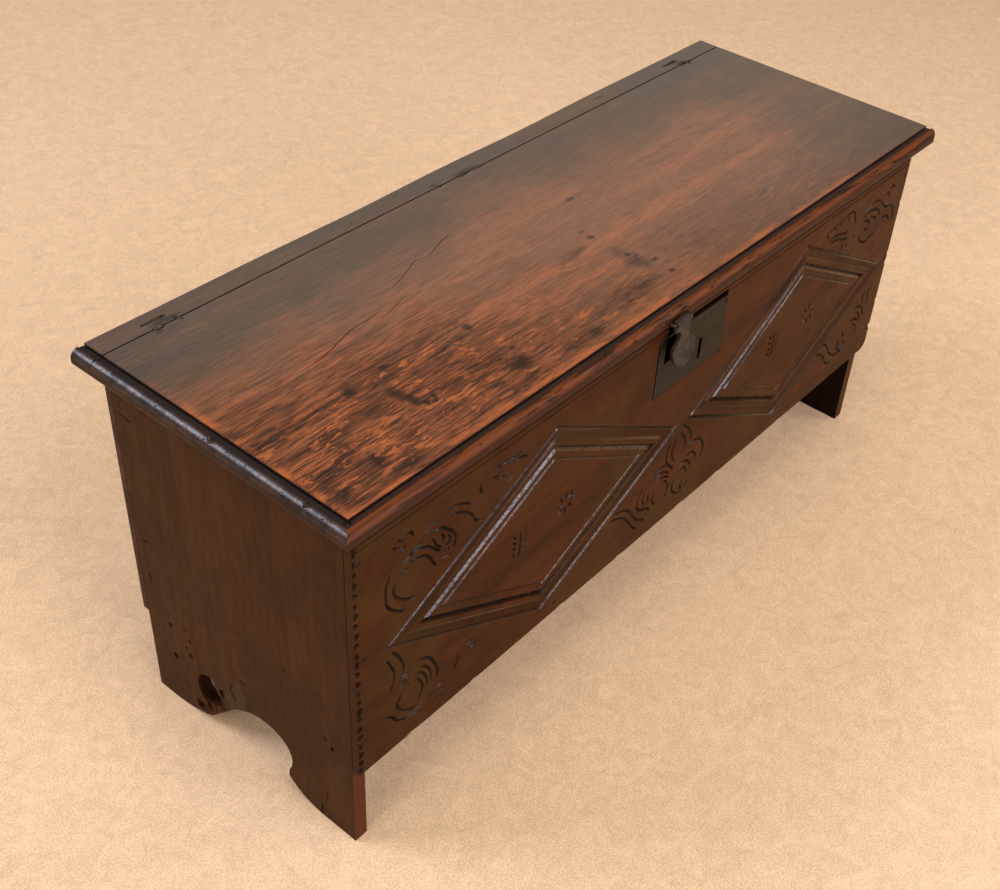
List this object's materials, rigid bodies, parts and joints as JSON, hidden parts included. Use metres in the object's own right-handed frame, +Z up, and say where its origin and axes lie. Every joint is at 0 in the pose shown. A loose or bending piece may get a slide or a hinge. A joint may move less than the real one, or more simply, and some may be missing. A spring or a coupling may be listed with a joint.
{
  "type": "coffer chest",
  "caption": "Low boarded oak coffer with slab-end feet, a moulded overhanging lid on wire-eye hinges, a let-in iron lock plate and a hanging hasp.",
  "frame": {"origin": "on the floor, under the centre of the overall box at rest", "axes": "+X along the chest to the right as seen from the front, +Y from front to back, +Z up"},
  "size_m": [1.17, 0.4314, 0.5059],
  "materials": {
    "oak_front": "waxed old oak, reddish mid brown, semi-gloss",
    "oak_end": "waxed old oak, dark brown, semi-gloss",
    "oak_lid": "waxed old oak, mottled orange brown over dark brown, polished",
    "oak_inner": "dry unpolished oak",
    "black_iron": "forged iron, blackened and worn",
    "nail_iron": "forged iron, rusted dark"
  },
  "bodies": {
    "carcass": {"front_board": "oak_front", "back_board": "oak_end", "left_end_board": "oak_end", "right_end_board": "oak_end", "bottom_board": "oak_inner", "left_back_eye": "black_iron", "right_back_eye": "black_iron", "lock_plate": "black_iron", "bolt_keeper_1": "black_iron", "bolt_keeper_2": "black_iron", "bolt_spring": "black_iron", "lock_cap": "black_iron", "key_ward": "black_iron", "lock_nail_1": "nail_iron", "lock_nail_2": "nail_iron", "lock_nail_3": "nail_iron", "lock_nail_4": "nail_iron", "front_nail_1": "nail_iron", "front_nail_2": "nail_iron", "front_nail_3": "nail_iron", "front_nail_4": "nail_iron", "front_nail_5": "nail_iron", "front_nail_6": "nail_iron", "front_nail_7": "nail_iron", "front_nail_8": "nail_iron", "back_nail_1": "nail_iron", "back_nail_2": "nail_iron", "back_nail_3": "nail_iron", "back_nail_4": "nail_iron", "back_nail_5": "nail_iron", "back_nail_6": "nail_iron", "back_nail_7": "nail_iron", "back_nail_8": "nail_iron", "left_end_nail_1": "nail_iron", "left_end_nail_2": "nail_iron", "right_end_nail_1": "nail_iron", "right_end_nail_2": "nail_iron"},
    "lid": {"lid_board": "oak_lid", "lid_rear_strip": "oak_lid", "lid_dowel_1": "oak_inner", "lid_dowel_2": "oak_inner", "lid_dowel_3": "oak_inner", "lid_dowel_4": "oak_inner", "left_lid_eye": "black_iron", "right_lid_eye": "black_iron", "hasp_staple": "black_iron"},
    "hasp": {"hasp": "black_iron"},
    "bolt": {"lock_bolt": "black_iron"}
  },
  "joints": [
    {"name": "lid_hinge", "type": "hinge", "parent": "carcass", "child": "lid", "pos_m": [0, 0.1957, 0.475], "axis": [-1, 0, 0], "range_deg": [0, 105]},
    {"name": "hasp_swing", "type": "hinge", "parent": "lid", "child": "hasp", "pos_m": [-0.0585, -0.2087, 0.4915], "axis": [-1, 0, 0], "range_deg": [-15, 120]},
    {"name": "bolt_slide", "type": "slide", "parent": "carcass", "child": "bolt", "axis": [-1, 0, 0], "range_m": [0, 0.013]}
  ]
}
